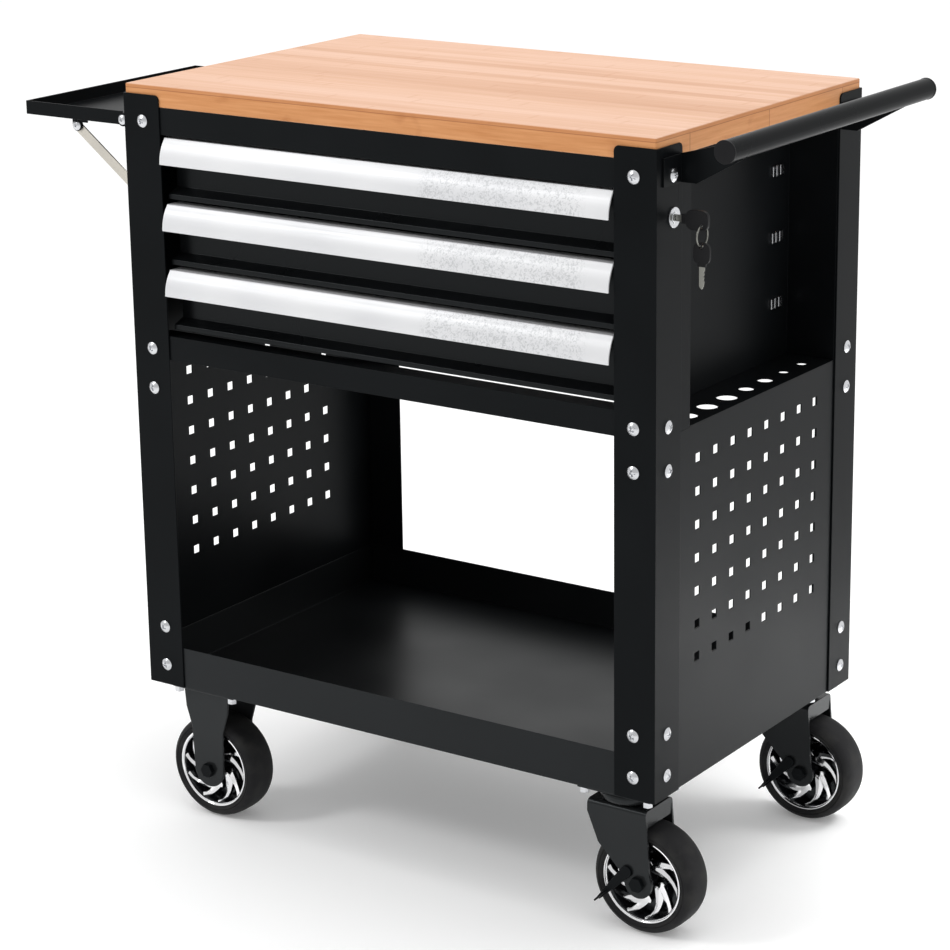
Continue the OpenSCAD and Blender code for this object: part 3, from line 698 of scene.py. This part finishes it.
def dress_nodes():
    """Gives every CAD node that stays its look and its rounded edges."""
    for name, obj in NODES.items():
        if name.startswith(REPLACED):
            continue
        obj.data.materials.clear()
        obj.data.materials.append(OWN_LOOK.get(name, LOOKS[SLOTS[name]]))
        width = ROUNDING.get(name, USUAL_ROUNDING)
        if width:
            soften(obj, width * MM)


dress_nodes()


# ---------- stage, light, camera ----------

# Places in metres, powers in watts
FLOOR_REACH = 14.0
WORLD_DIM = 0.72
WORLD_BRIGHT = 1.05
MIDDLE = (0, 0, 0.6)


def make_floor():
    """A plain floor, wide enough for every view from above."""
    far = FLOOR_REACH
    mesh = bpy.data.meshes.new("floor")
    corners = [(-far, -far, 0), (far, -far, 0), (far, far, 0), (-far, far, 0)]
    mesh.from_pydata(corners, [], [(0, 1, 2, 3)])
    floor = new_piece("studio_floor", mesh, [backdrop()], smooth=False)


def hang_lamp(name, data, place, target):
    """Hangs a lamp at a place and aims it at a target."""
    lamp = bpy.data.objects.new(name, data)
    lamp.location = place
    aim = Vector(target) - Vector(place)
    lamp.rotation_mode = "QUATERNION"
    lamp.rotation_quaternion = aim.to_track_quat("-Z", "Y")
    bpy.context.scene.collection.objects.link(lamp)
    return lamp


def make_softbox(name, place, target, size, power):
    """A square area lamp."""
    data = bpy.data.lights.new(name, "AREA")
    data.energy = power
    data.size = size
    hang_lamp(name, data, place, target)


def make_floor_spot(name, place, target, cone, power):
    """Brightens a patch of floor for the side panel to mirror; it makes no highlight itself."""
    data = bpy.data.lights.new(name, "SPOT")
    data.energy = power
    data.spot_size = math.radians(cone)
    data.spot_blend = 1.0
    data.shadow_soft_size = 0.25
    hang_lamp(name, data, place, target).visible_glossy = False


def make_world():
    """Pale studio all round, dimmer toward the drawer side so that the black faces stay dark."""
    world = bpy.data.worlds.new("studio")
    world.use_nodes = True
    tree = world.node_tree
    coord = tree.nodes.new("ShaderNodeTexCoord")
    split = tree.nodes.new("ShaderNodeSeparateXYZ")
    fade = tree.nodes.new("ShaderNodeMapRange")
    for name, value in (("From Min", -0.9), ("From Max", 0.3),
                        ("To Min", WORLD_DIM), ("To Max", WORLD_BRIGHT)):
        fade.inputs[name].default_value = value
    tree.links.new(coord.outputs["Generated"], split.inputs[0])
    tree.links.new(split.outputs["Y"], fade.inputs["Value"])
    back = tree.nodes["Background"]
    back.inputs["Color"].default_value = (1.0, 1.0, 1.0, 1.0)
    tree.links.new(fade.outputs["Result"], back.inputs["Strength"])
    bpy.context.scene.world = world
    bpy.context.scene.view_settings.view_transform = "Standard"


# Camera: place in metres; azimuth, downward tilt and roll in degrees; lens and sensor in millimetres
CAMERA_PLACE = (1.899, -2.735, 1.427)
CAMERA_TURN = (33.93, 16.05, -0.61)
CAMERA_LENS = 110.05
CAMERA_SENSOR = 36.0
CAMERA_SHIFT = (-0.04, -0.04)


def make_camera():
    """A long lens that looks down on the chest from its front right."""
    azimuth, tilt, roll = (math.radians(a) for a in CAMERA_TURN)
    level = Vector((-math.sin(azimuth), math.cos(azimuth), 0.0)) * math.cos(tilt)
    ahead = level - Vector((0.0, 0.0, math.sin(tilt)))
    right = ahead.cross(Vector((0, 0, 1))).normalized()
    up = right.cross(ahead)
    right, up = (right * math.cos(roll) + up * math.sin(roll), up * math.cos(roll) - right * math.sin(roll))
    data = bpy.data.cameras.new("camera")
    data.sensor_width = CAMERA_SENSOR
    data.lens = CAMERA_LENS
    data.shift_x, data.shift_y = CAMERA_SHIFT
    data.clip_end = 100.0
    camera = bpy.data.objects.new("camera", data)
    axes = Matrix((right, up, -ahead)).transposed()
    camera.matrix_world = Matrix.Translation(CAMERA_PLACE) @ axes.to_4x4()
    bpy.context.scene.collection.objects.link(camera)
    bpy.context.scene.camera = camera


make_floor()
make_world()
make_softbox("key_left", (-2.0, -2.2, 2.6), MIDDLE, 0.7, 30)
make_floor_spot("floor_right", (1.0, 0.75, 0.9), (0.85, 0.60, 0.0), 75, 80)
make_softbox("top_soft", (0.2, 0.3, 3.0), MIDDLE, 2.2, 26)
make_camera()
